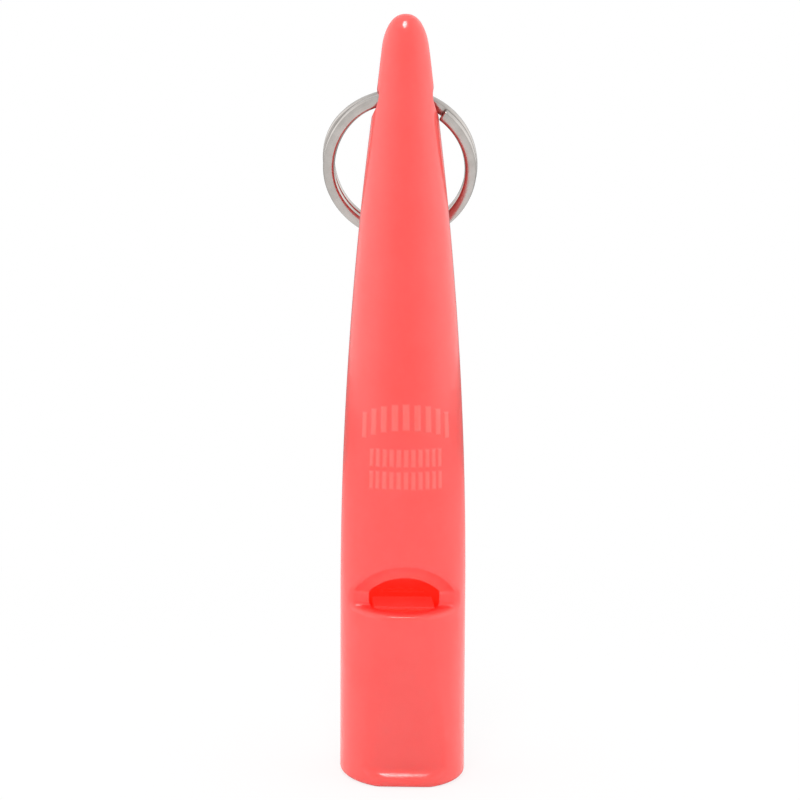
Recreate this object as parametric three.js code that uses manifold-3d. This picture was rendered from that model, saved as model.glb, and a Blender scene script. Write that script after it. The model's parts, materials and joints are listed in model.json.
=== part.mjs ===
// Pealess dog-training whistle with its split ring.
//
// Millimetres, +Z up. The origin is the centre of the flat mouth end, the tail tip is at the top,
// the sound window faces -Y and the cross hole for the ring runs along X.
// Three separate pieces: the moulded whistle body, the windway plug pressed into its bore, and the
// split ring threaded through the tail.

import * as THREE from 'three';
import { mergeVertices } from 'three/addons/utils/BufferGeometryUtils.js';
import Module from 'manifold-3d';

const wasm = await Module();
wasm.setup();

// Driving dimensions of the body.
const LENGTH = 80;
const BARREL_RADIUS = 6.65;
const TAPER_START = 19.5;
const SHOULDER_HEIGHT = 70;
const SHOULDER_RADIUS = 3.42;
const NOSE_SIDE_REACH = 5.8;
const NOSE_TIP_REACH = 2.6;
const MOUTH_EDGE_RADIUS = 0.6;

// Tail: side flats, and the cross hole between them.
const HOLE_HEIGHT = 71.15;
const HOLE_RADIUS = 1.52;
const FLAT_HALF_WIDTH = 2.98;
const FLAT_START = 71.3;
const FLAT_LEAN = THREE.MathUtils.degToRad(6);

// Air path: window, chamber and windway.
const SILL_HEIGHT = 18.6;
const SILL_LEAN = THREE.MathUtils.degToRad(10);
const RAMP_TOP = 23.68;
const RAMP_BOTTOM = 20.15;
const NOTCH_FLOOR_DEPTH = 3.12;
const CHAMBER_RADIUS = 5.03;
const CHAMBER_END = 32;
const BORE_FLAT = 4.3;
const WINDWAY_HEIGHT = 0.62;

// Mouthpiece: one bite face on the front and one on the back, each ending in a lip.
const BITE_TOP = 18.1;
const BITE_SLOPE = 0.085;
const LIP_HEIGHT = 1.9;
const LIP_UNDERCUT = 0.3;
const LIP_DEPTH = 0.75;

// Windway plug.
const PLUG_CLEARANCE = 0.08;
const PLUG_COLLAR_HEIGHT = 9;
const PLUG_TONGUE_HALF_WIDTH = 3.2;
const PLUG_TONGUE_BACK = 1.3;

// Split ring: two turns of flattened wire, with a step from one layer to the other inside the hole.
const RING_OUTER_RADIUS = 8.2;
const WIRE_RADIAL = 1.22;
const WIRE_AXIAL = 1;
const WIRE_CORNER = 0.25;
const COIL_GAP = 0.06;
const RING_DROP = 7.16;
const RING_SIDE_SHIFT = -0.42;
const RING_TILT = THREE.MathUtils.degToRad(25.8);
const RING_TWIST = THREE.MathUtils.degToRad(-8.5);
const FRONT_END_ANGLE = THREE.MathUtils.degToRad(53);
const STEP_START = THREE.MathUtils.degToRad(106);
const STEP_END = THREE.MathUtils.degToRad(68);
const BACK_END_ANGLE = THREE.MathUtils.degToRad(115);

// Facets.
const ROUND_SEGMENTS = 48;
const BORE_SEGMENTS = 40;
const HOLE_SEGMENTS = 24;
const STEPS_PER_TURN = 60;
const CORNER_SEGMENTS = 1;

// Oversize of a cutter beyond the surface that it cuts.
const OVERCUT = 2;

const material = (color, roughness, metalness) =>
  new THREE.MeshStandardMaterial({ color, roughness, metalness });

const CORAL_PLASTIC = material(0xf4595a, 0.22, 0);
const PLATED_STEEL = material(0xbdb9b3, 0.28, 1);

// A closed three.js geometry as a solid for joining and cutting.
function solidOf(geometry) {
  const bare = geometry.clone();
  bare.deleteAttribute('normal');
  bare.deleteAttribute('uv');
  const merged = mergeVertices(bare, 1e-5);
  const index = merged.index.array;
  const kept = [];
  for (let i = 0; i < index.length; i += 3) {
    const [a, b, c] = [index[i], index[i + 1], index[i + 2]];
    const hasArea = a !== b && b !== c && c !== a;
    if (hasArea) kept.push(a, b, c);
  }
  const vertProperties = new Float32Array(merged.attributes.position.array);
  const triVerts = new Uint32Array(kept);
  return new wasm.Manifold(new wasm.Mesh({ numProp: 3, vertProperties, triVerts }));
}

function geometryOf(solid) {
  const { vertProperties, triVerts, numProp } = solid.getMesh();
  const positions = new Float32Array((vertProperties.length / numProp) * 3);
  for (let v = 0; v < positions.length / 3; v += 1) {
    positions.set(vertProperties.subarray(v * numProp, v * numProp + 3), v * 3);
  }
  const geometry = new THREE.BufferGeometry();
  geometry.setAttribute('position', new THREE.BufferAttribute(positions, 3));
  geometry.setIndex(Array.from(triVerts));
  geometry.computeVertexNormals();
  return geometry;
}

// A solid of revolution about +Z from [radius, height] points that start and end on the axis.
function turned(points, segments) {
  const profile = points.map(([radius, height]) => new THREE.Vector2(radius, height));
  const geometry = new THREE.LatheGeometry(profile, segments);
  geometry.rotateX(Math.PI / 2);
  return solidOf(geometry);
}

function turnedRod(radius, bottom, top, segments = BORE_SEGMENTS) {
  return turned([[0, bottom], [radius, bottom], [radius, top], [0, top]], segments);
}

function block(minimum, maximum) {
  const size = maximum.map((value, axis) => value - minimum[axis]);
  const centre = maximum.map((value, axis) => (value + minimum[axis]) / 2);
  return solidOf(new THREE.BoxGeometry(...size).translate(...centre));
}

// A prism along X from [y, z] corner points.
function prismAlongX(corners, halfWidth) {
  const shape = new THREE.Shape(corners.map(([y, z]) => new THREE.Vector2(y, z)));
  const geometry = new THREE.ExtrudeGeometry(shape, { depth: 2 * halfWidth, bevelEnabled: false });
  geometry.translate(0, 0, -halfWidth);
  geometry.rotateY(Math.PI / 2);
  geometry.rotateX(Math.PI / 2);
  return solidOf(geometry);
}

// Outer form: rounded mouth edge, straight barrel, parabolic taper and blunt nose.
function outerForm() {
  const edge = new THREE.EllipseCurve(
    BARREL_RADIUS - MOUTH_EDGE_RADIUS, MOUTH_EDGE_RADIUS,
    MOUTH_EDGE_RADIUS, MOUTH_EDGE_RADIUS, -Math.PI / 2, 0,
  );
  const taper = new THREE.QuadraticBezierCurve(
    new THREE.Vector2(BARREL_RADIUS, TAPER_START),
    new THREE.Vector2(BARREL_RADIUS, (TAPER_START + SHOULDER_HEIGHT) / 2),
    new THREE.Vector2(SHOULDER_RADIUS, SHOULDER_HEIGHT),
  );
  const taperSlope = 2 * (BARREL_RADIUS - SHOULDER_RADIUS) / (SHOULDER_HEIGHT - TAPER_START);
  const nose = new THREE.CubicBezierCurve(
    new THREE.Vector2(SHOULDER_RADIUS, SHOULDER_HEIGHT),
    new THREE.Vector2(SHOULDER_RADIUS - taperSlope * NOSE_SIDE_REACH, SHOULDER_HEIGHT + NOSE_SIDE_REACH),
    new THREE.Vector2(NOSE_TIP_REACH, LENGTH),
    new THREE.Vector2(0, LENGTH),
  );
  const outline = [
    [0, 0],
    ...edge.getPoints(3).map((p) => [p.x, p.y]),
    ...taper.getPoints(12).map((p) => [p.x, p.y]),
    ...nose.getPoints(9).slice(1, -1).map((p) => [p.x, p.y]),
    [0, LENGTH],
  ];
  return turned(outline, ROUND_SEGMENTS);
}

// A round rod with a flat at the front and one at the back, which keys the plug in the bore and
// leaves a full wall behind the bite faces.
function keyedRod(radius, frontFlat, backFlat, bottom, top) {
  const side = radius + OVERCUT;
  const keep = block([-side, -frontFlat, bottom - OVERCUT], [side, backFlat, top + OVERCUT]);
  return turnedRod(radius, bottom, top).intersect(keep);
}

function airPath() {
  const chamber = turnedRod(CHAMBER_RADIUS, SILL_HEIGHT, CHAMBER_END);
  const plugBore = keyedRod(CHAMBER_RADIUS, BORE_FLAT, BORE_FLAT, -OVERCUT, SILL_HEIGHT + OVERCUT);
  return chamber.add(plugBore);
}

// The window is a notch across the front: a sill that falls outwards, a short upright floor, then
// the labium ramp.
function windowNotch() {
  const floor = NOTCH_FLOOR_DEPTH - BARREL_RADIUS;
  const depth = NOTCH_FLOOR_DEPTH + OVERCUT;
  const sillFall = Math.tan(SILL_LEAN);
  const rampRise = (RAMP_TOP - RAMP_BOTTOM) / NOTCH_FLOOR_DEPTH;
  return prismAlongX([
    [floor - depth, SILL_HEIGHT - sillFall * depth],
    [floor, SILL_HEIGHT],
    [floor, RAMP_BOTTOM],
    [floor - depth, RAMP_BOTTOM + rampRise * depth],
  ], BARREL_RADIUS + OVERCUT);
}

function biteCut() {
  const front = -BARREL_RADIUS;
  const deepest = front + BITE_SLOPE * (BITE_TOP - LIP_HEIGHT);
  const lip = front + LIP_DEPTH;
  return prismAlongX([
    [front - OVERCUT, -OVERCUT],
    [lip, -OVERCUT],
    [lip, LIP_HEIGHT - LIP_UNDERCUT],
    [deepest, LIP_HEIGHT],
    [front, BITE_TOP],
    [front - OVERCUT, BITE_TOP],
  ], BARREL_RADIUS + OVERCUT);
}

// Leaning flats take a little off both sides of the tail above the hole.
function sideFlats() {
  const reach = LENGTH - FLAT_START + OVERCUT;
  const one = new THREE.BoxGeometry(OVERCUT, 4 * OVERCUT, reach);
  one.translate(OVERCUT / 2, 0, reach / 2);
  one.rotateY(-FLAT_LEAN);
  one.translate(FLAT_HALF_WIDTH, 0, FLAT_START);
  const right = solidOf(one);
  return right.add(right.rotate([0, 0, 180]));
}

function crossHole() {
  const reach = 4 * SHOULDER_RADIUS;
  const geometry = new THREE.CylinderGeometry(HOLE_RADIUS, HOLE_RADIUS, reach, HOLE_SEGMENTS);
  geometry.rotateZ(Math.PI / 2);
  geometry.translate(0, 0, HOLE_HEIGHT);
  return solidOf(geometry);
}

function whistleBody() {
  const bite = biteCut();
  return outerForm()
    .subtract(airPath())
    .subtract(windowNotch())
    .subtract(bite)
    .subtract(bite.rotate([0, 0, 180]))
    .subtract(sideFlats())
    .subtract(crossHole());
}

// The plug closes the bore and its front flat is the windway floor. Above the collar only a tongue
// is left, relieved at both sides and at the back, which ends level with the sill.
function windwayPlug() {
  const radius = CHAMBER_RADIUS - PLUG_CLEARANCE;
  const floor = BORE_FLAT - WINDWAY_HEIGHT;
  const full = keyedRod(radius, floor, BORE_FLAT - PLUG_CLEARANCE, 0, SILL_HEIGHT);
  const outside = radius + OVERCUT;
  const top = SILL_HEIGHT + OVERCUT;
  const sideRelief = block([PLUG_TONGUE_HALF_WIDTH, -outside, PLUG_COLLAR_HEIGHT], [outside, outside, top]);
  const backRelief = block([-outside, PLUG_TONGUE_BACK, PLUG_COLLAR_HEIGHT], [outside, outside, top]);
  return full
    .subtract(sideRelief)
    .subtract(sideRelief.rotate([0, 0, 180]))
    .subtract(backRelief);
}

// Centre line of the ring wire, seen from the front: it starts right of the hole in the front
// layer, runs clockwise once round, steps to the back layer and runs once round again.
class SplitRingPath extends THREE.Curve {
  getPoint(t, target = new THREE.Vector3()) {
    const turn = 2 * Math.PI;
    const first = FRONT_END_ANGLE;
    const last = BACK_END_ANGLE - 2 * turn;
    const angle = first + (last - first) * t;
    const stepStart = STEP_START - turn;
    const stepEnd = STEP_END - turn;
    const ease = THREE.MathUtils.smoothstep(-angle, -stepStart, -stepEnd);
    const offset = (WIRE_AXIAL + COIL_GAP) / 2;
    const radius = RING_OUTER_RADIUS - WIRE_RADIAL / 2;
    return target.set(
      radius * Math.cos(angle),
      THREE.MathUtils.lerp(-offset, offset, ease),
      radius * Math.sin(angle),
    );
  }
}

// Wire section: flat faces with round edges. x is along the ring's axis and y is radial.
function wireSection() {
  const halfAxial = WIRE_AXIAL / 2;
  const halfRadial = WIRE_RADIAL / 2;
  const shape = new THREE.Shape();
  const corners = [[1, 1, 0], [-1, 1, 1], [-1, -1, 2], [1, -1, 3]];
  for (const [sideX, sideY, quarter] of corners) {
    const x = sideX * (halfAxial - WIRE_CORNER);
    const y = sideY * (halfRadial - WIRE_CORNER);
    shape.absarc(x, y, WIRE_CORNER, quarter * Math.PI / 2, (quarter + 1) * Math.PI / 2, false);
  }
  shape.closePath();
  return shape;
}

function splitRing() {
  const geometry = new THREE.ExtrudeGeometry(wireSection(), {
    steps: 2 * STEPS_PER_TURN,
    curveSegments: CORNER_SEGMENTS,
    bevelEnabled: false,
    extrudePath: new SplitRingPath(),
  });
  return solidOf(geometry);
}

function piece(name, solid, finish) {
  const mesh = new THREE.Mesh(geometryOf(solid), finish);
  mesh.name = name;
  return mesh;
}

// The ring hangs behind the body and a little to one side, and is twisted so that the wire's step
// runs straight through the hole. Its hinge line is the axis of the cross hole, and the wire's bow
// inside the hole straddles that line.
function ringOnHinge() {
  const ring = piece('split_ring', splitRing(), PLATED_STEEL);
  ring.position.set(RING_SIDE_SHIFT, 0, -RING_DROP);
  ring.rotation.z = RING_TWIST;
  const hinge = new THREE.Group();
  hinge.position.set(0, 0, HOLE_HEIGHT);
  hinge.rotation.x = RING_TILT;
  hinge.add(ring);
  return hinge;
}

const whistle = new THREE.Group();
whistle.add(piece('whistle_body', whistleBody(), CORAL_PLASTIC));
whistle.add(piece('windway_plug', windwayPlug(), CORAL_PLASTIC));
whistle.add(ringOnHinge());

export default whistle;
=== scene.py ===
"""Looks of the pealess training whistle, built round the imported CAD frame.

Shapes are written in millimetres and turned into metres when a mesh is made. The whistle stands on its
mouth end, the sound window faces -Y and the split ring hangs behind the tail.
"""

import json
import math

import bpy
import numpy as np
from mathutils import Matrix, Vector


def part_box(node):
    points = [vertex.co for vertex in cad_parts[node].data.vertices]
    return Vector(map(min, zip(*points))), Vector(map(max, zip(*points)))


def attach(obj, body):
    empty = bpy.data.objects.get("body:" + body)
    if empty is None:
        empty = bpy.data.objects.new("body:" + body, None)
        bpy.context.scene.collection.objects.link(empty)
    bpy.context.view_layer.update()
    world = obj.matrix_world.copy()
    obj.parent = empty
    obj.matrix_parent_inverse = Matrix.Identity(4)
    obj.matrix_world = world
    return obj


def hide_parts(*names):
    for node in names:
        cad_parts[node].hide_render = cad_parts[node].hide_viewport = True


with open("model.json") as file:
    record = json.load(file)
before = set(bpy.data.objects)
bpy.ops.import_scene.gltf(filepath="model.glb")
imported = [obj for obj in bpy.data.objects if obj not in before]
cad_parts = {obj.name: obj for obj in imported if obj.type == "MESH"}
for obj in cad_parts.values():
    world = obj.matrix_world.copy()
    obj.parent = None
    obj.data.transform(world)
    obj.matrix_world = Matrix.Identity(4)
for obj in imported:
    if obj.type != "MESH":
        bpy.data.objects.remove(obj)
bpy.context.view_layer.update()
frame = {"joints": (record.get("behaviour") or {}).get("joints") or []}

MM = 0.001

# ---------------------------------------------------------------------------------------------
# Dimensions in millimetres. The first group is read from the frame.
# ---------------------------------------------------------------------------------------------

body_low, body_high = (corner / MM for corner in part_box("whistle_body"))
plug_low, plug_high = (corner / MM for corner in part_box("windway_plug"))
swing = next(joint for joint in frame["joints"] if joint["name"] == "ring_swing")

LENGTH = body_high.z
BARREL_RADIUS = body_high.x
SILL_HEIGHT = plug_high.z
PLUG_RADIUS = plug_high.x
PLUG_FLOOR = plug_low.y
PLUG_BACK = plug_high.y
HOLE_HEIGHT = swing["pos_m"][2] / MM

# Outer form.
TAPER_START = 19.5
SHOULDER_HEIGHT = 70.0
SHOULDER_RADIUS = 3.42
NOSE_SIDE_REACH = 6.0
NOSE_TIP_REACH = 2.5
MOUTH_EDGE_RADIUS = 0.6

# Tail.
HOLE_RADIUS = 1.56
HOLE_EDGE_RADIUS = 0.12
FLAT_HALF_WIDTH = 3.01
FLAT_START = 71.6
FLAT_LEAN = math.radians(6.5)
FLAT_BLEND = 0.7
FLAT_EDGE_RADIUS = 0.08

# Window, chamber and windway.
SILL_LEAN = math.radians(10.0)
RAMP_TOP = 23.5
RAMP_BOTTOM = 20.15
NOTCH_DEPTH = 3.12
RAMP_LEAN = math.atan2(RAMP_TOP - RAMP_BOTTOM, NOTCH_DEPTH)
SILL_FILLET = 0.55
RAMP_FILLET = 0.12
SILL_EDGE_RADIUS = 0.42
RAMP_EDGE_RADIUS = 0.25
CHAMBER_RADIUS = 5.03
CHAMBER_END = 32.0
CHAMBER_END_FILLET = 1.0
BORE_FLAT = 4.3
BORE_OVERLAP = 1.0
LABIUM_EDGE_RADIUS = 0.1

# Mouthpiece.
BITE_TOP = 18.1
BITE_SLOPE = 0.085
LIP_HEIGHT = 1.4
LIP_RUN = 1.35
LIP_DEPTH = 0.6
LIP_CROWN = 0.1
BITE_SIDE_RADIUS = 0.5

# Plug.
PLUG_COLLAR_HEIGHT = 9.0
PLUG_TONGUE_HALF_WIDTH = 3.2
PLUG_TONGUE_BACK = 1.3
PLUG_EDGE_RADIUS = 0.1
PLUG_STEP_FILLET = 0.4

# Plain raised bars on the front: an arched row over two straight rows. Height is above the mouth
# end, and reach is measured round the barrel to either side.
ARCH_ROW = {"height": 38.55, "droop": 1.1, "reach": 5.5, "tall": 2.6, "wide": 0.66, "count": 9}
UPPER_ROW = {"height": 34.4, "droop": 0.0, "reach": 4.2, "tall": 1.75, "wide": 0.44, "count": 11}
LOWER_ROW = {"height": 32.13, "droop": 0.0, "reach": 4.2, "tall": 1.75, "wide": 0.44, "count": 11}
BAR_RISE = 0.07
BAR_EDGE = 0.1

# Ring. Angles are measured at its centre from +X towards +Z, so the cross hole is near 90 degrees.
# Corners are (axial, radial) radii of the wire's section.
RING_OUTER_RADIUS = 8.2
RING_DROP = 7.16
RING_SIDE_SHIFT = -0.42
RING_TILT = math.radians(25.8)
RING_TWIST = math.radians(-8.5)
WIRE_RADIAL = 1.22
WIRE_AXIAL = 0.97
WIRE_OUTER_CORNER = (0.26, 0.26)
WIRE_INNER_CORNER = (0.34, 0.44)
WIRE_CROWN = 0.03
COIL_GAP = 0.06
FRONT_END_ANGLE = math.radians(54)
BACK_END_ANGLE = math.radians(107)
STEP_START = math.radians(106)
STEP_END = math.radians(68)
END_ROUND = 0.16
END_SPRING_OUT = 0.2
END_SPRING_IN = 0.08
END_SPRING_ANGLE = math.radians(55)
BACK_BOW = 0.26
FRONT_BOW = 0.12
BOW_ANGLE = math.radians(95)
WIRE_STEPS = 440
CORNER_STEPS = 6
END_STEPS = 4
FACE_SPACING = 0.18


# ---------------------------------------------------------------------------------------------
# Signed distance fields: negative inside the material.
# ---------------------------------------------------------------------------------------------


def meet(a, b, radius=0.0):
    """Intersection of two fields, with its outer edge rounded."""
    if np.ndim(radius) == 0 and radius == 0.0:
        return np.maximum(a, b)
    corner = np.hypot(np.maximum(a + radius, 0), np.maximum(b + radius, 0))
    return np.minimum(-radius, np.maximum(a, b)) + corner


def join(a, b, radius=0.0):
    """Union of two fields, with its inner corner filled."""
    return -meet(-a, -b, radius)


def cut(a, b, radius=0.0):
    """Field a with field b taken away, with the new edge rounded."""
    return meet(a, -b, radius)


def smooth_share(value, low, high):
    """0 below low, 1 above high, and a smooth rise between."""
    share = np.clip((value - low) / (high - low), 0, 1)
    return share**2 * (3 - 2 * share)


def profile_table():
    """Heights up the outer form and its squared radius at each: a parabolic taper, then the nose."""
    taper_height = np.linspace(TAPER_START, SHOULDER_HEIGHT, 400)
    share = (taper_height - TAPER_START) / (SHOULDER_HEIGHT - TAPER_START)
    taper_radius = BARREL_RADIUS + (SHOULDER_RADIUS - BARREL_RADIUS) * share**2
    slope = 2 * (BARREL_RADIUS - SHOULDER_RADIUS) / (SHOULDER_HEIGHT - TAPER_START)
    points = np.array([
        (SHOULDER_RADIUS, SHOULDER_HEIGHT),
        (SHOULDER_RADIUS - slope * NOSE_SIDE_REACH, SHOULDER_HEIGHT + NOSE_SIDE_REACH),
        (NOSE_TIP_REACH, LENGTH),
        (0.0, LENGTH),
    ])
    t = np.linspace(0, 1, 600)[1:, None]
    nose = (1 - t) ** 3 * points[0] + 3 * (1 - t) ** 2 * t * points[1]
    nose = nose + 3 * (1 - t) * t**2 * points[2] + t**3 * points[3]
    height = np.concatenate([taper_height, nose[:, 1]])
    radius = np.concatenate([taper_radius, nose[:, 0]])
    return height, radius**2


PROFILE_HEIGHT, PROFILE_SQUARE = profile_table()
TIP_FALL = (PROFILE_SQUARE[-40] - PROFILE_SQUARE[-1]) / (PROFILE_HEIGHT[-1] - PROFILE_HEIGHT[-40])


def outer_form(x, y, z):
    """The turned outside. Squared radii keep the field smooth over the blunt tip."""
    square = np.interp(z, PROFILE_HEIGHT, PROFILE_SQUARE)
    square = np.where(z > LENGTH, (LENGTH - z) * TIP_FALL, square)
    step = 0.05
    above = np.interp(z + step, PROFILE_HEIGHT, PROFILE_SQUARE)
    below = np.interp(z - step, PROFILE_HEIGHT, PROFILE_SQUARE)
    fall = np.where(z > LENGTH - step, -TIP_FALL, (above - below) / (2 * step))
    r2 = x**2 + y**2
    gradient = np.sqrt(4 * r2 + fall**2 + 0.01)
    return (r2 - square) / gradient


def keyed_rod(x, y, radius, front_flat, back_flat, edge=0.0):
    """Upright rod with a flat at the front and at the back."""
    rod = np.hypot(x, y) - radius
    return meet(meet(rod, front_flat - y, edge), y - back_flat, edge)


def window_notch(y, z):
    """Outward-falling sill, short upright floor and the labium ramp, with moulded inside corners."""
    floor = y + BARREL_RADIUS - NOTCH_DEPTH
    sill = (SILL_HEIGHT - z) * math.cos(SILL_LEAN) + floor * math.sin(SILL_LEAN)
    ramp = (z - RAMP_BOTTOM) * math.cos(RAMP_LEAN) + floor * math.sin(RAMP_LEAN)
    return meet(meet(floor, sill, SILL_FILLET), ramp, RAMP_FILLET)


def bite_limit(y, z):
    """The two bite faces: slim wedges that swell softly into a crowned lip at the mouth end."""
    wedge = BITE_SLOPE * (BITE_TOP - z)
    lip = LIP_DEPTH + LIP_CROWN * (2 * z / LIP_HEIGHT - 1) ** 2
    share = smooth_share(z, LIP_HEIGHT - LIP_RUN / 2, LIP_HEIGHT + LIP_RUN / 2)
    return np.abs(y) - BARREL_RADIUS + lip + (wedge - lip) * share


def tail_limit(x, z):
    """Leaning side flats, which run out softly below the cross hole."""
    flat = (np.abs(x) - FLAT_HALF_WIDTH) * math.cos(FLAT_LEAN)
    flat = flat + (z - FLAT_START) * math.sin(FLAT_LEAN)
    return join(flat, z - FLAT_START, FLAT_BLEND)


def raised_bars(x, y, z):
    """Share of the full rise, from 0 on plain ground to 1 on top of a bar."""
    around = BARREL_RADIUS * np.arctan2(x, -y)
    total = np.zeros(np.shape(around))
    for row in (ARCH_ROW, UPPER_ROW, LOWER_ROW):
        pitch = 2 * row["reach"] / row["count"]
        last = (row["count"] - 1) / 2
        nearest = pitch * np.clip(np.round(around / pitch), -last, last)
        middle = row["height"] - row["droop"] * (nearest / row["reach"]) ** 2
        side = np.abs(around - nearest) - row["wide"] / 2
        end = np.abs(z - middle) - row["tall"] / 2
        outside = np.maximum(side, end)
        total = np.maximum(total, smooth_share(-outside, -BAR_EDGE, BAR_EDGE))
    return total


def air_path(x, y, z):
    """Round chamber above the sill, and below it the bore with a flat at the front and back."""
    chamber = meet(np.hypot(x, y) - CHAMBER_RADIUS, z - CHAMBER_END, CHAMBER_END_FILLET)
    chamber = meet(chamber, SILL_HEIGHT - z)
    bore = meet(keyed_rod(x, y, CHAMBER_RADIUS, -BORE_FLAT, BORE_FLAT), z - SILL_HEIGHT - BORE_OVERLAP)
    return join(chamber, bore)


def body_field(x, y, z):
    """The whole moulding: outer form and bars, then the mouth, tail, window, bore and cross hole."""
    body = outer_form(x, y, z) - BAR_RISE * raised_bars(x, y, z)
    body = meet(body, -z, MOUTH_EDGE_RADIUS)
    body = meet(body, bite_limit(y, z), BITE_SIDE_RADIUS)
    body = meet(body, tail_limit(x, z), FLAT_EDGE_RADIUS)
    ramp_share = smooth_share(z, SILL_HEIGHT + 0.8, RAMP_TOP - 2)
    notch_edge = SILL_EDGE_RADIUS + (RAMP_EDGE_RADIUS - SILL_EDGE_RADIUS) * ramp_share
    body = cut(body, window_notch(y, z), notch_edge)
    body = cut(body, air_path(x, y, z), LABIUM_EDGE_RADIUS)
    hole = np.hypot(y, z - HOLE_HEIGHT) - HOLE_RADIUS
    return cut(body, hole, HOLE_EDGE_RADIUS)


def plug_field(x, y, z):
    """Keyed collar at the mouth end, and a slimmer tongue that ends level with the sill."""
    plug = keyed_rod(x, y, PLUG_RADIUS, PLUG_FLOOR, PLUG_BACK, PLUG_EDGE_RADIUS)
    tongue = meet(np.abs(x) - PLUG_TONGUE_HALF_WIDTH, y - PLUG_TONGUE_BACK, PLUG_EDGE_RADIUS)
    plug = meet(plug, join(tongue, z - PLUG_COLLAR_HEIGHT, PLUG_STEP_FILLET), PLUG_EDGE_RADIUS)
    plug = meet(plug, z - SILL_HEIGHT, PLUG_EDGE_RADIUS)
    return meet(plug, -z, PLUG_EDGE_RADIUS)


# ---------------------------------------------------------------------------------------------
# Meshing: a surface net over a rectilinear grid, pulled onto the exact surface.
# ---------------------------------------------------------------------------------------------


def graded(*spans):
    """Grid planes from (start, end, spacing) spans that follow on from each other."""
    planes = [np.linspace(a, b, round((b - a) / step), endpoint=False) for a, b, step in spans]
    return np.append(np.concatenate(planes), spans[-1][1])


def gradient(field, points, step=0.01):
    """The field's slope at each point, by central differences."""
    x, y, z = points.T
    return np.stack([
        field(x + step, y, z) - field(x - step, y, z),
        field(x, y + step, z) - field(x, y - step, z),
        field(x, y, z + step) - field(x, y, z - step),
    ], axis=1) / (2 * step)


def pull_to_surface(field, points, reach, rounds=4):
    """Moves points along the field's slope on to its zero surface, by at most reach each round."""
    for _ in range(rounds):
        slope = gradient(field, points)
        square = np.maximum((slope**2).sum(axis=1), 0.05)
        move = (field(*points.T) / square)[:, None] * slope
        length = np.maximum(np.linalg.norm(move, axis=1), 1e-9)
        points = points - move * np.minimum(1, reach / length)[:, None]
    return points


def relax(points, quads, rounds=1):
    """Evens out the spacing: each point moves half way to the middle of its neighbours."""
    starts = quads.ravel()
    ends = np.roll(quads, -1, axis=1).ravel()
    count = np.bincount(starts, minlength=len(points)) + np.bincount(ends, minlength=len(points))
    for _ in range(rounds):
        middle = np.empty_like(points)
        for axis in range(3):
            total = np.bincount(starts, points[ends, axis], len(points))
            total = total + np.bincount(ends, points[starts, axis], len(points))
            middle[:, axis] = total / np.maximum(count, 1)
        points = points + 0.5 * (middle - points)
    return points


def surface_net(field, planes):
    """Points and outward quads of the field's zero surface on the grid planes (x, y, z)."""
    grid = np.meshgrid(*planes, indexing="ij")
    value = field(*grid)
    inside = value < 0
    cells = np.array(value.shape) - 1
    position_sum = []
    cell_ids = []
    quads = []
    for axis in range(3):
        low = [slice(None)] * 3
        high = [slice(None)] * 3
        low[axis] = slice(0, -1)
        high[axis] = slice(1, None)
        crossing = inside[tuple(low)] != inside[tuple(high)]
        index = np.stack(np.nonzero(crossing), axis=1)
        second, third = (axis + 1) % 3, (axis + 2) % 3
        interior = (index[:, second] > 0) & (index[:, third] > 0)
        interior &= (index[:, second] < cells[second]) & (index[:, third] < cells[third])
        index = index[interior]
        following = index.copy()
        following[:, axis] += 1
        a = value[tuple(index.T)]
        b = value[tuple(following.T)]
        share = a / (a - b)
        point = np.stack([planes[k][index[:, k]] for k in range(3)], axis=1)
        span = planes[axis][following[:, axis]] - planes[axis][index[:, axis]]
        point[:, axis] += share * span
        around = []
        for back_second, back_third in ((1, 1), (0, 1), (0, 0), (1, 0)):
            cell = index.copy()
            cell[:, second] -= back_second
            cell[:, third] -= back_third
            flat = np.ravel_multi_index(tuple(cell.T), tuple(cells))
            around.append(flat)
            cell_ids.append(flat)
            position_sum.append(point)
        around = np.stack(around, axis=1)
        leaving = inside[tuple(index.T)]
        quads.append(np.where(leaving[:, None], around, around[:, ::-1]))
    cell_ids = np.concatenate(cell_ids)
    position_sum = np.concatenate(position_sum)
    used, slot = np.unique(cell_ids, return_inverse=True)
    count = np.bincount(slot)
    points = np.stack([np.bincount(slot, position_sum[:, k]) / count for k in range(3)], axis=1)
    return points, np.searchsorted(used, np.concatenate(quads))


def field_mesh(name, field, planes):
    """A Blender object of the field's surface, smooth shaded with the field's own normals."""
    reach = 2 * max(np.diff(axis).min() for axis in planes)
    points, quads = surface_net(field, planes)
    points = pull_to_surface(field, points, reach)
    points = relax(points, quads, 2)
    points = pull_to_surface(field, points, reach)
    normals = gradient(field, points, 0.02)
    normals /= np.maximum(np.linalg.norm(normals, axis=1), 1e-9)[:, None]
    mesh = bpy.data.meshes.new(name)
    mesh.from_pydata((points * MM).tolist(), [], quads.tolist())
    mesh.shade_smooth()
    mesh.normals_split_custom_set_from_vertices(normals.tolist())
    obj = bpy.data.objects.new(name, mesh)
    bpy.context.scene.collection.objects.link(obj)
    return obj


# ---------------------------------------------------------------------------------------------
# Split ring: two turns of flattened wire, swept along its own path.
# ---------------------------------------------------------------------------------------------


def swell(angle, start):
    """A smooth rise from 0 at start to 1 and back to 0."""
    return np.sin(math.pi * np.clip((angle - start) / BOW_ANGLE, 0, 1)) ** 2


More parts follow.
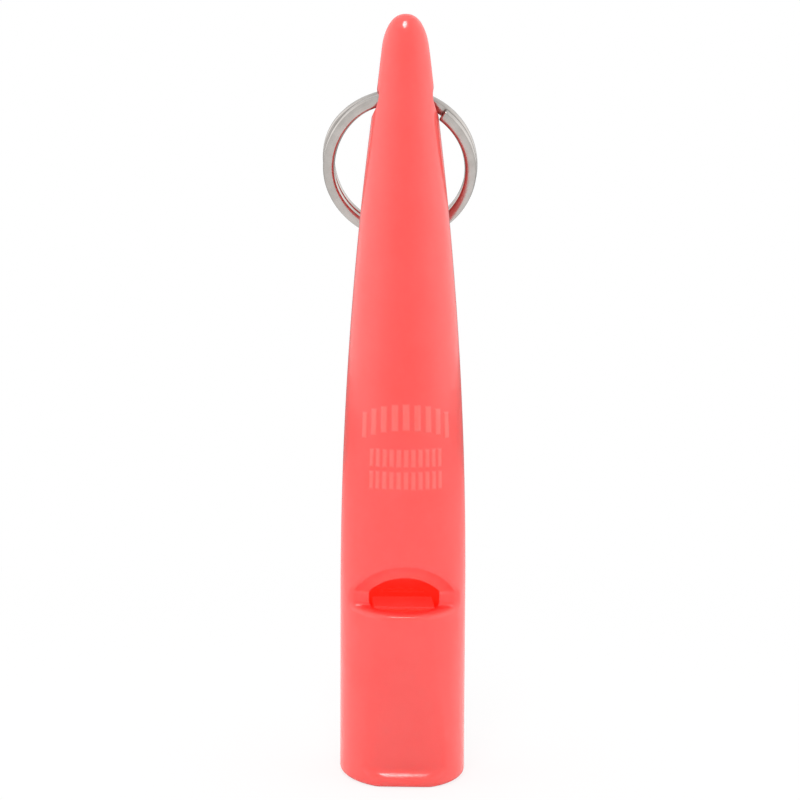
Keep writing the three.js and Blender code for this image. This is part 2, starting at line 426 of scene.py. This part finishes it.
def ring_path(angle):
    """Centre line at an angle that falls from the front end: one turn, a step back, one turn.

    The front end is sprung forwards and towards the eye. Near the back end the back turn bows out
    and the front turn bows in.
    """
    turn = 2 * math.pi
    share = np.clip((STEP_START - turn - angle) / (STEP_START - STEP_END), 0, 1)
    ease = share**2 * (3 - 2 * share)
    sprung = smooth_share(angle, FRONT_END_ANGLE - END_SPRING_ANGLE, FRONT_END_ANGLE)
    offset = (WIRE_AXIAL + COIL_GAP) / 2 * (2 * ease - 1) - END_SPRING_OUT * sprung
    bow = BACK_BOW * swell(angle, BACK_END_ANGLE - 2 * turn)
    bow = bow - FRONT_BOW * swell(angle, BACK_END_ANGLE - turn)
    radius = RING_OUTER_RADIUS - WIRE_RADIAL / 2 - END_SPRING_IN * sprung + bow
    return np.stack([radius * np.cos(angle), offset, radius * np.sin(angle)], axis=-1)


def wire_section():
    """Flattened wire, rounder towards the ring's eye, as (axial, radial) offsets."""
    half = np.array([WIRE_AXIAL / 2, WIRE_RADIAL / 2])
    corners = (
        (1, 1, WIRE_OUTER_CORNER),
        (-1, 1, WIRE_OUTER_CORNER),
        (-1, -1, WIRE_INNER_CORNER),
        (1, -1, WIRE_INNER_CORNER),
    )
    arcs = []
    for quarter, (side_axial, side_radial, radius) in enumerate(corners):
        centre = (half - radius) * (side_axial, side_radial)
        turn = math.pi / 2 * (quarter + np.linspace(0, 1, CORNER_STEPS + 1))
        arcs.append(centre + radius * np.stack([np.cos(turn), np.sin(turn)], axis=1))
    points = []
    for quarter, arc in enumerate(arcs):
        points.extend(arc)
        side = arcs[(quarter + 1) % 4][0] - arc[-1]
        turn = math.pi / 2 * (quarter + 1)
        outward = np.array([math.cos(turn), math.sin(turn)])
        steps = round(np.linalg.norm(side) / FACE_SPACING)
        for step in range(1, steps):
            share = step / steps
            crown = WIRE_CROWN * 4 * share * (1 - share)
            points.append(arc[-1] + side * share + crown * outward)
    return np.array(points)


def wire_stations():
    """Angles along the coil, and how far the section shrinks at each: both ends are rounded off."""
    bend = np.linspace(0, math.pi / 2, END_STEPS + 1)
    inset = END_ROUND * (1 - np.sin(bend)) / RING_OUTER_RADIUS
    shrink = 1 - END_ROUND * (1 - np.cos(bend)) / (WIRE_AXIAL / 2)
    first = FRONT_END_ANGLE
    last = BACK_END_ANGLE - 4 * math.pi
    middle = np.linspace(first - inset[0], last + inset[0], WIRE_STEPS)[1:-1]
    angles = np.concatenate([first - inset[::-1], middle, last + inset])
    scale = np.concatenate([shrink[::-1], np.ones(len(middle)), shrink])
    return angles, scale


def split_ring_mesh(name):
    """Sweeps the wire's section along the coil and hangs the result in the cross hole."""
    angles, scale = wire_stations()
    centre = ring_path(angles)
    tangent = ring_path(angles - 0.001) - ring_path(angles + 0.001)
    tangent /= np.linalg.norm(tangent, axis=1)[:, None]
    radial = np.stack([np.cos(angles), np.zeros(len(angles)), np.sin(angles)], axis=1)
    radial -= (radial * tangent).sum(axis=1)[:, None] * tangent
    radial /= np.linalg.norm(radial, axis=1)[:, None]
    axial = np.cross(radial, tangent)
    section = wire_section()
    rings = (
        centre[:, None]
        + scale[:, None, None] * section[None, :, :1] * axial[:, None]
        + scale[:, None, None] * section[None, :, 1:] * radial[:, None]
    )
    count = len(section)
    index = np.arange(len(angles) * count).reshape(len(angles), count)
    following = np.roll(index, -1, axis=1)
    walls = np.stack([index[:-1], following[:-1], following[1:], index[1:]], axis=-1).reshape(-1, 4)
    faces = walls.tolist() + [index[0][::-1].tolist(), index[-1].tolist()]
    mesh = bpy.data.meshes.new(name)
    mesh.from_pydata((rings.reshape(-1, 3) * MM).tolist(), [], faces)
    hinge = Matrix.Translation((0, 0, HOLE_HEIGHT * MM)) @ Matrix.Rotation(RING_TILT, 4, "X")
    hang = Matrix.Translation((RING_SIDE_SHIFT * MM, 0, -RING_DROP * MM))
    mesh.transform(hinge @ hang @ Matrix.Rotation(RING_TWIST, 4, "Z"))
    mesh.shade_smooth()
    obj = bpy.data.objects.new(name, mesh)
    bpy.context.scene.collection.objects.link(obj)
    return obj


# ---------------------------------------------------------------------------------------------
# Materials
# ---------------------------------------------------------------------------------------------


class Nodes:
    """Short calls for building a node material round its Principled shader."""

    def __init__(self, name):
        self.material = bpy.data.materials.new(name)
        self.material.use_nodes = True
        self.tree = self.material.node_tree
        self.shader = self.tree.nodes["Principled BSDF"]

    def add(self, kind, inputs=None, **settings):
        node = self.tree.nodes.new(kind)
        for key, value in settings.items():
            setattr(node, key, value)
        for key, value in (inputs or {}).items():
            self.set(node, key, value)
        return node

    def set(self, node, key, value):
        if isinstance(value, bpy.types.NodeSocket):
            self.tree.links.new(value, node.inputs[key])
        else:
            node.inputs[key].default_value = value

    def shade(self, **values):
        for key, value in values.items():
            self.set(self.shader, key.replace("_", " "), value)

    def place(self):
        """Object coordinates in millimetres."""
        coordinates = self.add("ShaderNodeTexCoord").outputs["Object"]
        mapping = self.add("ShaderNodeMapping", {"Vector": coordinates})
        mapping.inputs["Scale"].default_value = (1 / MM, 1 / MM, 1 / MM)
        return mapping.outputs["Vector"]

    def noise(self, scale, detail=2.0, roughness=0.5):
        node = self.add("ShaderNodeTexNoise", {
            "Vector": self.place(), "Scale": scale, "Detail": detail, "Roughness": roughness,
        })
        return node.outputs["Fac"]

    def remap(self, value, low, high, to_low, to_high):
        return self.add("ShaderNodeMapRange", {
            "Value": value, "From Min": low, "From Max": high, "To Min": to_low, "To Max": to_high,
        }).outputs["Result"]

    def maths(self, operation, a, b=0.0):
        return self.add("ShaderNodeMath", {0: a, 1: b}, operation=operation).outputs[0]

    def blend(self, share, a, b):
        node = self.add("ShaderNodeMix", data_type="RGBA")
        colour_inputs = [socket for socket in node.inputs if socket.type == "RGBA"]
        self.set(node, 0, share)
        for socket, value in zip(colour_inputs, (a, b)):
            if isinstance(value, bpy.types.NodeSocket):
                self.tree.links.new(value, socket)
            else:
                socket.default_value = value
        return next(socket for socket in node.outputs if socket.type == "RGBA")

    def bump(self, height, distance):
        inputs = {"Height": height, "Distance": distance * MM, "Strength": 1.0}
        return self.add("ShaderNodeBump", inputs).outputs["Normal"]


# Colours are linear. GLOW_REACH is how far below the sill the painted glow of the chamber is seen.
GLOW_REACH = 1.8
CORAL = (0.97, 0.108, 0.1, 1)
CORAL_FLOW = (0.96, 0.1, 0.092, 1)
CORAL_BAR_PAINTED_HIGHLIGHT = (0.98, 0.185, 0.165, 1)
CORAL_SILL_PAINTED_SHADE = (0.95, 0.035, 0.028, 1)
CORAL_RAMP_PAINTED_LIGHT = (0.98, 0.16, 0.145, 1)
CHAMBER_GLOW = (1.0, 0.016, 0.007, 1)
PLUG_GLOW = (1.0, 0.04, 0.03, 1)
STEEL_DULL = (0.46, 0.43, 0.405, 1)
STEEL_BRIGHT = (0.52, 0.49, 0.465, 1)
STEEL_PAINTED_CREVICE_SHADE = (0.12, 0.11, 0.105, 1)


def notch_face(n, y, z, from_axis, height, lean, side):
    """Mask of one sloping face of the window notch, which fades out towards the outer form."""
    floor = n.maths("ADD", y, BARREL_RADIUS - NOTCH_DEPTH)
    rise = n.maths("MULTIPLY", n.maths("SUBTRACT", z, height), side * math.cos(lean))
    run = n.maths("MULTIPLY", floor, math.sin(lean))
    off = n.maths("ABSOLUTE", n.maths("ADD", rise, run))
    in_front = n.maths("LESS_THAN", floor, 0.2)
    near_axis = n.remap(from_axis, 5.5, 6.3, 1.0, 0.0)
    on_face = n.maths("MULTIPLY", in_front, n.remap(off, 0.08, 0.25, 1.0, 0.0))
    return n.maths("MULTIPLY", near_axis, on_face)


def coral_plastic(name, glow, glow_colour):
    """Glossy moulded plastic with faint flow marks and fine haze; the raised bars get a paler painted
    highlight.

    The deep sill is darkened with painted shade and the thin labium is lightened with painted light.
    The inside has a painted red glow, standing in for light that soaks through the thin chamber wall,
    which fades out a little below the sill.
    """
    n = Nodes(name)
    flow = n.remap(n.noise(0.16, 3.0), 0.35, 0.65, 0.0, 1.0)
    haze = n.noise(2.2, 4.0, 0.6)
    raised = n.add("ShaderNodeAttribute", attribute_name="raised").outputs["Fac"]
    ground = n.blend(flow, CORAL, CORAL_FLOW)
    place = n.add("ShaderNodeSeparateXYZ", {0: n.place()})
    x, y, z = (place.outputs[axis] for axis in "XYZ")
    from_axis = n.maths("SQRT", n.maths("ADD", n.maths("MULTIPLY", x, x), n.maths("MULTIPLY", y, y)))
    # Painted shade: the deep sill is darkened towards a deeper red.
    sill = n.maths("MULTIPLY", notch_face(n, y, z, from_axis, SILL_HEIGHT, SILL_LEAN, -1), 0.8)
    # Painted light: the thin labium ramp is made paler in colour.
    ramp = n.maths("MULTIPLY", notch_face(n, y, z, from_axis, RAMP_BOTTOM, RAMP_LEAN, 1), 0.7)
    # Painted highlight: the raised bars are made paler in colour.
    colour = n.blend(n.maths("MULTIPLY", raised, 0.8), ground, CORAL_BAR_PAINTED_HIGHLIGHT)
    colour = n.blend(sill, colour, CORAL_SILL_PAINTED_SHADE)
    colour = n.blend(ramp, colour, CORAL_RAMP_PAINTED_LIGHT)
    ripple = n.noise(0.5, 1.0)
    speckle = n.maths("MULTIPLY", n.noise(9.0, 2.0), 0.04)
    # Painted glow: emission inside the chamber stands in for light soaking through the thin wall.
    inner = n.remap(from_axis, CHAMBER_RADIUS, CHAMBER_RADIUS + 0.09, 1.0, 0.0)
    lit = n.remap(z, SILL_HEIGHT - GLOW_REACH, SILL_HEIGHT - GLOW_REACH / 2, 0.0, 1.0)
    in_chamber = n.maths("MULTIPLY", lit, n.maths("LESS_THAN", z, CHAMBER_END + 0.1))
    n.shade(
        Base_Color=colour,
        Roughness=n.remap(haze, 0.3, 0.7, 0.13, 0.2),
        IOR=1.5,
        Subsurface_Weight=0.75,
        Subsurface_Radius=(1.0, 0.2, 0.15),
        Subsurface_Scale=1.6 * MM,
        Normal=n.bump(n.maths("ADD", ripple, speckle), 0.012),
        Emission_Color=glow_colour,
        Emission_Strength=n.maths("MULTIPLY", n.maths("MULTIPLY", inner, in_chamber), glow),
    )
    return n.material


def plated_steel(name):
    """Nickel-plated spring wire: soft dull patches, fine grain, and painted shade where the coils
    meet.
    """
    n = Nodes(name)
    patches = n.remap(n.noise(0.7, 3.0), 0.35, 0.65, 0.0, 1.0)
    grain = n.noise(14.0, 3.0, 0.6)
    # Painted shade: ambient occlusion darkens the steel where the coils meet.
    crevice = n.add("ShaderNodeAmbientOcclusion", {"Distance": 0.4 * MM}, samples=4)
    unshaded_steel = n.blend(patches, STEEL_DULL, STEEL_BRIGHT)
    open_share = n.remap(crevice.outputs["AO"], 0.25, 0.8, 0.0, 1.0)
    n.shade(
        Base_Color=n.blend(open_share, STEEL_PAINTED_CREVICE_SHADE, unshaded_steel),
        Metallic=1.0,
        Roughness=n.remap(grain, 0.3, 0.7, 0.16, 0.26),
        Normal=n.bump(grain, 0.0015),
    )
    return n.material


# ---------------------------------------------------------------------------------------------
# Floor, light and camera
# ---------------------------------------------------------------------------------------------

BACKGROUND = 1.0
MIRRORED_FRONT = 0.95
ROOF = 0.5
MIRRORED_BACK = 0.3


def pale_floor():
    """Pale floor that the camera sees as white further off and that mirrors as a pale studio."""
    radius = 30 * LENGTH * MM
    corners = [(-radius, -radius, 0), (radius, -radius, 0), (radius, radius, 0), (-radius, radius, 0)]
    mesh = bpy.data.meshes.new("floor")
    mesh.from_pydata(corners, [], [(0, 1, 2, 3)])
    floor = bpy.data.objects.new("floor", mesh)
    floor.location.z = -0.02 * MM
    bpy.context.scene.collection.objects.link(floor)
    n = Nodes("pale_floor")
    n.shade(Base_Color=(0.9, 0.9, 0.9, 1), Roughness=0.6)
    seen = n.add("ShaderNodeLightPath").outputs["Is Camera Ray"]
    behind = n.add("ShaderNodeSeparateXYZ", {0: n.place()}).outputs["Y"]
    mirrored = n.remap(behind, 0.0, 4 * LENGTH, MIRRORED_FRONT, MIRRORED_BACK)
    strength = n.add("ShaderNodeMapRange", {
        "Value": seen, "To Min": mirrored, "To Max": BACKGROUND,
    }).outputs["Result"]
    glow = n.add("ShaderNodeEmission", {"Color": (1, 1, 1, 1), "Strength": strength})
    distance = n.add("ShaderNodeVectorMath", {0: n.place()}, operation="LENGTH").outputs["Value"]
    near_share = n.maths("MULTIPLY", seen, 0.8)
    far = n.add("ShaderNodeMapRange", {
        "Value": distance, "From Min": 0.3 * LENGTH, "From Max": 1.6 * LENGTH,
        "To Min": near_share, "To Max": 1.0,
    }).outputs["Result"]
    mix = n.add("ShaderNodeMixShader", {0: far, 1: n.shader.outputs[0], 2: glow.outputs[0]})
    output = n.tree.nodes["Material Output"]
    n.tree.links.new(mix.outputs[0], output.inputs["Surface"])
    mesh.materials.append(n.material)


def light_tent():
    """White studio tent with bright side walls and a dimmer front, back and roof.

    The camera sees it as plain white.
    """
    world = bpy.data.worlds.new("light_tent")
    bpy.context.scene.world = world
    world.use_nodes = True
    tree = world.node_tree
    tree.nodes.clear()
    add = tree.nodes.new
    link = tree.links.new
    coordinates = add("ShaderNodeTexCoord")
    split = add("ShaderNodeSeparateXYZ")
    link(coordinates.outputs["Generated"], split.inputs[0])
    ramp = add("ShaderNodeValToRGB")
    away = add("ShaderNodeMapRange")
    for key, value in (("From Min", -1.0), ("From Max", 1.0), ("To Min", 0.0), ("To Max", 1.0)):
        away.inputs[key].default_value = value
    link(split.outputs["Y"], away.inputs["Value"])
    link(away.outputs["Result"], ramp.inputs["Fac"])
    stops = (
        (0.0, 0.58), (0.1, 0.9), (0.25, 1.42), (0.45, 1.7), (0.62, 1.6), (0.8, 1.4), (0.92, 1.0),
        (1.0, 0.2),
    )
    while len(ramp.color_ramp.elements) < len(stops):
        ramp.color_ramp.elements.new(0.5)
    for element, (position, level) in zip(ramp.color_ramp.elements, stops):
        element.position = position
        element.color = (level, level, level, 1)
    roof = add("ShaderNodeMapRange")
    for key, value in (("From Min", 0.35), ("From Max", 0.9), ("To Min", 1.0), ("To Max", ROOF)):
        roof.inputs[key].default_value = value
    link(split.outputs["Z"], roof.inputs["Value"])
    around = add("ShaderNodeBackground")
    link(ramp.outputs["Color"], around.inputs["Color"])
    link(roof.outputs["Result"], around.inputs["Strength"])
    seen = add("ShaderNodeBackground")
    seen.inputs["Color"].default_value = (1, 1, 1, 1)
    seen.inputs["Strength"].default_value = BACKGROUND
    path = add("ShaderNodeLightPath")
    mix = add("ShaderNodeMixShader")
    link(path.outputs["Is Camera Ray"], mix.inputs[0])
    link(around.outputs[0], mix.inputs[1])
    link(seen.outputs[0], mix.inputs[2])
    output = add("ShaderNodeOutputWorld")
    link(mix.outputs[0], output.inputs["Surface"])


def softbox(name, place, target, size, energy):
    """Round area lamp at a place in millimetres, turned to a target."""
    data = bpy.data.lights.new(name, "AREA")
    data.shape = "DISK"
    data.size = size * MM
    data.energy = energy
    lamp = bpy.data.objects.new(name, data)
    lamp.location = Vector(place) * MM
    lamp.rotation_mode = "QUATERNION"
    direction = (Vector(target) - Vector(place)).normalized()
    lamp.rotation_quaternion = direction.to_track_quat("-Z", "Y")
    bpy.context.scene.collection.objects.link(lamp)


def camera():
    """Camera just above the whistle's middle, turned a little off it and shifted back."""
    distance = 148.0
    elevation = math.radians(4.25)
    azimuth = math.radians(-2.4)
    roll = math.radians(0.27)
    turn = math.radians(4.5)
    aim = Vector((-0.38, 0, 39.9))
    data = bpy.data.cameras.new("camera")
    data.lens = 62.77
    data.sensor_width = 36
    data.clip_start = 0.01
    data.clip_end = 100
    cam = bpy.data.objects.new("camera", data)
    data.shift_x = math.tan(turn) * data.lens / data.sensor_width
    back = Vector((
        math.sin(azimuth) * math.cos(elevation),
        -math.cos(azimuth) * math.cos(elevation),
        math.sin(elevation),
    ))
    cam.location = (aim + back * distance) * MM
    cam.rotation_mode = "QUATERNION"
    look = (-back).to_track_quat("-Z", "Y")
    sideways = Matrix.Rotation(turn, 3, "Y").to_quaternion()
    cam.rotation_quaternion = look @ Matrix.Rotation(roll, 3, "Z").to_quaternion() @ sideways
    bpy.context.scene.collection.objects.link(cam)
    bpy.context.scene.camera = cam


# ---------------------------------------------------------------------------------------------
# The object
# ---------------------------------------------------------------------------------------------


def finish_piece(obj, node, body, material):
    """Gives a piece its material, hides its CAD node and ties it to its moving body."""
    obj.data.materials.append(material)
    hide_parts(node)
    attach(obj, body)


def mark_raised(obj):
    """Stores where the raised bars are, for the material."""
    mesh = obj.data
    points = np.empty(3 * len(mesh.vertices))
    mesh.vertices.foreach_get("co", points)
    share = raised_bars(*(points.reshape(-1, 3) / MM).T)
    mesh.attributes.new("raised", "FLOAT", "POINT").data.foreach_set("value", share)


def assemble():
    """Makes the three pieces, on grids that are finest round the window, the bars and the tail."""
    # Both plastics get a painted red glow inside the chamber.
    coral = coral_plastic("coral_plastic", 0.8, CHAMBER_GLOW)
    plug_coral = coral_plastic("plug_plastic", 0.45, PLUG_GLOW)
    steel = plated_steel("plated_steel")
    across = graded((-6.96, -5.2, 0.17), (-5.2, 5.2, 0.1), (5.2, 6.96, 0.17))
    depth = graded((-6.96, -5.6, 0.16), (-5.6, -3.1, 0.1), (-3.1, 6.96, 0.17))
    heights = graded(
        (-0.4, 18, 0.17), (18, 24.6, 0.1), (24.6, 31.2, 0.22), (31.2, 41.4, 0.12),
        (41.4, 68.5, 0.4), (68.5, 80.4, 0.17),
    )
    moulding = field_mesh("body_moulding", body_field, (across, depth, heights))
    mark_raised(moulding)
    finish_piece(moulding, "whistle_body", "whistle", coral)
    plug_side = np.arange(-5.33, 5.4, 0.19)
    plug_heights = graded((-0.4, 19.5, 0.19))
    plug = field_mesh("plug_moulding", plug_field, (plug_side, plug_side, plug_heights))
    finish_piece(plug, "windway_plug", "whistle", plug_coral)
    ring = split_ring_mesh("coiled_ring")
    finish_piece(ring, "split_ring", "ring", steel)


assemble()
pale_floor()
light_tent()
softbox("top_light", (-12, -95, 268), (0, 0, 60), 72, 0.22)
camera()
bpy.context.scene.view_settings.view_transform = "Standard"
